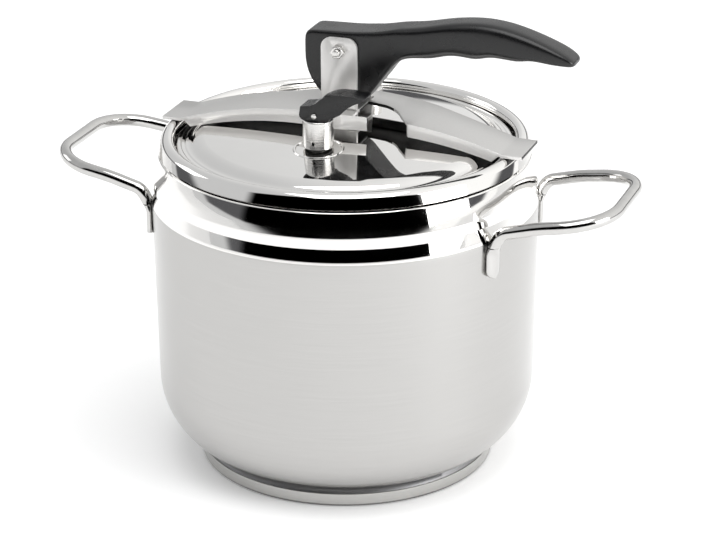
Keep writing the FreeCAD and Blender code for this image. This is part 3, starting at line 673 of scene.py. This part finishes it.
class COOKER_OT_bridge(bpy.types.Operator):
    """Arched bridge: satin top, polished flanges and edges with a painted sheen, underside in
    painted shade
    """

    bl_idname = "cooker.bridge"
    bl_label = "Bridge"

    def execute(self, context):
        bm = merged_copy("bridge")
        soften(bm, sizes().edge_softness, 2)
        # Faces are sorted by the way they point: the top stays satin, the outward faces get a
        # near-white painted sheen and the rest a near-black painted shade.
        top, flange, underside = range(3)
        for face in bm.faces:
            outer = face.normal.y * face.calc_center_median().y > 0
            if face.normal.z > 0.8:
                face.material_index = top
            elif outer and face.normal.z >= -0.5:
                face.material_index = flange
            else:
                face.material_index = underside
        piece = place(bm, "bridge_plate", ["satin_plate", "flange_painted_sheen", "underside_painted_shade"], 40.0)
        settle(piece, "closure_bridge", "satin_wall", "bridge")
        return {"FINISHED"}


class COOKER_OT_bracket(bpy.types.Operator):
    """Upright bracket on the lid with its rivets, pivot bolt and nut"""

    bl_idname = "cooker.bracket"
    bl_label = "Bracket and pivot"

    def execute(self, context):
        soft_copy("bracket", "lid_unit", "satin_wall", "bracket_satin", 0.00035)
        soft_copy("bracket_rivets", "lid_unit", "turned_metal", "turned_metal", 0.0)
        soft_copy("pivot_bolt", "lid_unit", "turned_metal", "turned_metal", 0.0003)
        soft_copy("pivot_nut", "lid_unit", "turned_metal", "turned_metal", 0.0003)
        return {"FINISHED"}


class COOKER_OT_closing_lever(bpy.types.Operator):
    """Black cam lever: flat-sided head and rounded grip with finger waves"""

    bl_idname = "cooker.closing_lever"
    bl_label = "Closing lever"

    # stations along X: top, underside, height of the side crease, squareness, width factor
    STATIONS = (
        (-20.2, 252.0, 244.5, 249.0, 0.5, 0.90), (-19.6, 255.5, 238.0, 248.0, 0.24, 0.97),
        (-18.2, 257.2, 232.6, 246.0, 0.16, 1.0), (-15.0, 257.6, 226.2, 244.0, 0.13, 1.0),
        (-11.5, 257.7, 222.0, 242.0, 0.13, 1.0), (-7.0, 257.9, 218.6, 240.0, 0.13, 1.0),
        (-2.0, 258.0, 216.2, 239.0, 0.13, 1.0), (4.0, 258.1, 214.5, 238.0, 0.13, 1.0),
        (10.6, 258.5, 214.5, 238.0, 0.13, 1.0), (14.6, 258.9, 217.4, 239.0, 0.13, 1.0),
        (18.4, 259.3, 222.4, 241.0, 0.14, 1.0), (23.0, 259.9, 228.4, 244.0, 0.17, 1.0),
        (29.0, 261.2, 236.4, 249.0, 0.22, 1.0), (34.5, 262.6, 243.4, 253.0, 0.30, 1.0),
        (40.0, 263.3, 245.6, 255.0, 0.38, 1.0), (47.0, 264.3, 245.9, 257.0, 0.44, 0.99),
        (54.9, 266.1, 246.3, 259.0, 0.48, 0.98), (61.0, 267.5, 248.4, 260.2, 0.5, 0.98),
        (67.4, 268.6, 249.4, 260.6, 0.5, 0.98), (74.0, 269.4, 248.9, 260.8, 0.5, 0.98),
        (79.8, 269.8, 248.2, 260.7, 0.5, 0.98), (85.0, 269.8, 249.8, 260.4, 0.5, 0.98),
        (89.9, 269.5, 250.7, 260.0, 0.5, 0.98), (97.0, 268.6, 250.2, 259.0, 0.5, 0.97),
        (103.7, 267.0, 249.6, 257.6, 0.5, 0.97), (108.5, 265.6, 250.6, 256.8, 0.5, 0.96),
        (112.9, 264.2, 251.2, 256.2, 0.5, 0.95), (118.5, 262.2, 250.6, 255.4, 0.5, 0.94),
        (124.4, 259.8, 249.9, 254.4, 0.5, 0.92), (129.5, 257.5, 249.8, 253.4, 0.5, 0.88),
        (133.4, 255.2, 249.6, 252.2, 0.55, 0.80), (135.4, 253.6, 249.8, 251.6, 0.6, 0.70),
        (136.4, 252.4, 250.6, 251.4, 0.7, 0.52))

    def execute(self, context):
        half = sizes().lever_half_width
        bm = bmesh.new()
        rings = []
        for x, top, low, crease, square, wide in self.STATIONS:
            ring = bmesh.ops.create_circle(bm, cap_ends=False, segments=40, radius=1.0)["verts"]
            for vert in ring:
                across, up = vert.co.x, vert.co.y
                height = (top - crease) if up > 0 else (crease - low)
                y = math.copysign(abs(across) ** square, across) * half * wide
                z = crease + math.copysign(abs(up) ** square, up) * height
                vert.co = Vector((x * MM, y, z * MM))
            rings.append(ring)
        for a, b in zip(rings, rings[1:]):
            edges = [e for ring in (a, b) for e in
                     {e for v in ring for e in v.link_edges if e.other_vert(v) in ring}]
            bmesh.ops.bridge_loops(bm, edges=edges)
        for ring in (rings[0], rings[-1]):
            bmesh.ops.contextual_create(bm, geom=ring)
        bmesh.ops.recalc_face_normals(bm, faces=bm.faces[:])
        piece = place(bm, "closing_lever", ["black_bakelite"], 60.0)
        smooth = piece.modifiers.new("moulded", "SUBSURF")
        smooth.levels = smooth.render_levels = 1
        settle(piece, "closing_lever", "bakelite", "lever")
        soft_copy("lever_bush", "closing_lever", "bush_brass", "turned_brass", 0.0)
        return {"FINISHED"}


class COOKER_OT_exhaust_valve(bpy.types.Operator):
    """Turned exhaust valve with its black lever, pin, needle, spring, washer and nut"""

    bl_idname = "cooker.exhaust_valve"
    bl_label = "Exhaust valve"

    def execute(self, context):
        soft_copy("valve_body", "lid_unit", "turned_metal", "turned_metal", 0.0)
        soft_copy("valve_washer", "lid_unit", "gasket_rubber", "black_rubber", 0.0002)
        soft_copy("valve_nut", "lid_unit", "turned_metal", "turned_metal", 0.0003)
        coil_spring("valve_spring")
        soft_copy("valve_needle", "needle", "turned_metal", "turned_metal", 0.0)
        soft_copy("valve_pin", "needle", "turned_metal", "turned_metal", 0.0003)
        soft_copy("valve_lever", "exhaust_lever", "bakelite", "black_bakelite", 0.0011, 4)
        return {"FINISHED"}


class COOKER_OT_relief_valve(bpy.types.Operator):
    """Relief valve behind the bridge: body, ball, spring, screw, washer and nut"""

    bl_idname = "cooker.relief_valve"
    bl_label = "Relief valve"

    def execute(self, context):
        soft_copy("safety_body", "lid_unit", "turned_metal", "turned_metal", 0.0)
        soft_copy("safety_washer", "lid_unit", "gasket_rubber", "black_rubber", 0.0002)
        soft_copy("safety_nut", "lid_unit", "turned_metal", "turned_metal", 0.0003)
        coil_spring("safety_spring")
        soft_copy("safety_screw", "lid_unit", "bush_brass", "turned_brass", 0.0003)
        soft_copy("safety_ball", "relief_ball", "polished_steel", "polished_steel", 0.0)
        return {"FINISHED"}


class COOKER_OT_stage(bpy.types.Operator):
    """Pale floor, soft studio surroundings, lights and camera"""

    bl_idname = "cooker.stage"
    bl_label = "Stage"

    # azimuths are in degrees round Z from the front, the elevation is up from the floor
    AZIMUTH = 20.5
    ELEVATION = 21.93
    OPENING_AZIMUTH = 15.0
    DISTANCE = 1.6
    LOOK = (0.0, 0.0, 0.1125)
    ROLL = -0.4
    FOCAL_LENGTH = 139.28
    SHIFT = 0.01294

    def execute(self, context):
        self.floor()
        self.surroundings(context.scene)
        self.lights(context.scene)
        self.camera(context.scene)
        context.scene.view_settings.view_transform = "Standard"
        return {"FINISHED"}

    def floor(self):
        bm = bmesh.new()
        bmesh.ops.create_grid(bm, x_segments=4, y_segments=4, size=12.0)
        bmesh.ops.translate(bm, verts=bm.verts[:], vec=(0, 0, -0.0002))
        place(bm, "studio_floor", ["pale_floor"])

    def surroundings(self, scene):
        """Bright all round, brighter on the right, with a low dark skirting and one dark opening
        at the front. All of it stands still, whatever the camera does."""
        world = bpy.data.worlds.new("studio")
        scene.world = world
        world.use_nodes = True
        tree = world.node_tree
        nodes, links = tree.nodes, tree.links
        where = nodes.new("ShaderNodeTexCoord")
        split = nodes.new("ShaderNodeSeparateXYZ")
        links.new(where.outputs["Generated"], split.inputs["Vector"])

        def step(source, low, high):
            item = nodes.new("ShaderNodeMapRange")
            item.interpolation_type = "SMOOTHSTEP"
            item.inputs["From Min"].default_value = low
            item.inputs["From Max"].default_value = high
            links.new(source, item.inputs["Value"])
            return item.outputs["Result"]

        def product(a, b):
            item = nodes.new("ShaderNodeMath")
            item.operation = "MULTIPLY"
            links.new(a, item.inputs[0])
            links.new(b, item.inputs[1])
            return item.outputs["Value"]

        angle = math.radians(self.AZIMUTH)
        toward = nodes.new("ShaderNodeVectorMath")
        toward.operation = "DOT_PRODUCT"
        opening = math.radians(self.OPENING_AZIMUTH)
        toward.inputs[1].default_value = (math.sin(opening), -math.cos(opening), 0.0)
        links.new(where.outputs["Generated"], toward.inputs[0])
        rising = step(split.outputs["Z"], 0.0, 0.03)
        falling = step(split.outputs["Z"], 0.85, 0.79)
        facing = step(toward.outputs["Value"], 0.50, 0.60)
        dark = product(product(rising, falling), facing)
        skirting = product(step(split.outputs["Z"], 0.015, 0.03),
                           step(split.outputs["Z"], 0.15, 0.10))
        sideways = nodes.new("ShaderNodeVectorMath")
        sideways.operation = "DOT_PRODUCT"
        sideways.inputs[1].default_value = (math.cos(angle), math.sin(angle), 0.0)
        links.new(where.outputs["Generated"], sideways.inputs[0])
        right = step(sideways.outputs["Value"], -0.6, 0.9)

        def mixed(factor, first, second):
            item = nodes.new("ShaderNodeMix")
            item.data_type = "RGBA"
            links.new(factor, item.inputs["Factor"])
            for name, colour in (("A", first), ("B", second)):
                if isinstance(colour, tuple):
                    item.inputs[name].default_value = (*colour, 1.0)
                else:
                    links.new(colour, item.inputs[name])
            return item.outputs["Result"]

        bright = mixed(right, (0.62, 0.625, 0.63), (1.12, 1.12, 1.11))
        edged = mixed(skirting, bright, (0.10, 0.10, 0.105))
        background = nodes["Background"]
        background.inputs["Strength"].default_value = 1.0
        links.new(mixed(dark, edged, (0.0, 0.0, 0.0)), background.inputs["Color"])

    def lights(self, scene):
        for name, where, size, power in (
                ("overhead_softbox", (0.35, -0.7, 2.2), 1.7, 24.0),
                ("left_softbox", (-2.2, 0.1, 1.0), 1.0, 4.0),
                ("right_softbox", (2.1, -0.3, 0.75), 1.1, 24.0)):
            lamp = bpy.data.lights.new(name, "AREA")
            lamp.shape = "SQUARE"
            lamp.size = size
            lamp.energy = power
            holder = bpy.data.objects.new(name, lamp)
            aim = Vector((0, 0, 0.1)) - Vector(where)
            holder.matrix_world = (Matrix.Translation(where)
                                   @ aim.to_track_quat("-Z", "Y").to_matrix().to_4x4())
            scene.collection.objects.link(holder)

    def camera(self, scene):
        azimuth, elevation = math.radians(self.AZIMUTH), math.radians(self.ELEVATION)
        back = Vector((math.sin(azimuth) * math.cos(elevation),
                       -math.cos(azimuth) * math.cos(elevation), math.sin(elevation)))
        lens = bpy.data.cameras.new("studio_camera")
        lens.lens = self.FOCAL_LENGTH
        lens.sensor_width = 36.0
        lens.shift_x = self.SHIFT
        holder = bpy.data.objects.new("studio_camera", lens)
        aim = (-back).to_track_quat("-Z", "Y")
        aim = aim @ Quaternion((0, 0, 1), math.radians(self.ROLL))
        holder.matrix_world = (Matrix.Translation(Vector(self.LOOK) + back * self.DISTANCE)
                               @ aim.to_matrix().to_4x4())
        scene.collection.objects.link(holder)
        scene.camera = holder


class COOKER_PT_panel(bpy.types.Panel):
    """Panel in the 3D view's sidebar"""

    bl_idname = "COOKER_PT_panel"
    bl_label = "Pressure cooker"
    bl_space_type = "VIEW_3D"
    bl_region_type = "UI"
    bl_category = "Cooker"

    def draw(self, context):
        for group in (context.scene.cooker_sizes, context.scene.cooker_colours):
            for name in group.__annotations__:
                self.layout.prop(group, name)
        for operator in OPERATORS:
            self.layout.operator(operator.bl_idname)


OPERATORS = (
    COOKER_OT_stage, COOKER_OT_pot_shell, COOKER_OT_base, COOKER_OT_handles, COOKER_OT_lid,
    COOKER_OT_bridge, COOKER_OT_bracket, COOKER_OT_closing_lever, COOKER_OT_exhaust_valve,
    COOKER_OT_relief_valve)
CLASSES = (CookerSizes, CookerColours, *OPERATORS, COOKER_PT_panel)


def register():
    for item in CLASSES:
        bpy.utils.register_class(item)
    bpy.types.Scene.cooker_sizes = bpy.props.PointerProperty(type=CookerSizes)
    bpy.types.Scene.cooker_colours = bpy.props.PointerProperty(type=CookerColours)


def unregister():
    del bpy.types.Scene.cooker_colours
    del bpy.types.Scene.cooker_sizes
    for item in reversed(CLASSES):
        bpy.utils.unregister_class(item)


def main():
    register()
    for operator in OPERATORS:
        group, name = operator.bl_idname.split(".")
        getattr(getattr(bpy.ops, group), name)()


if __name__ == "__main__":
    main()
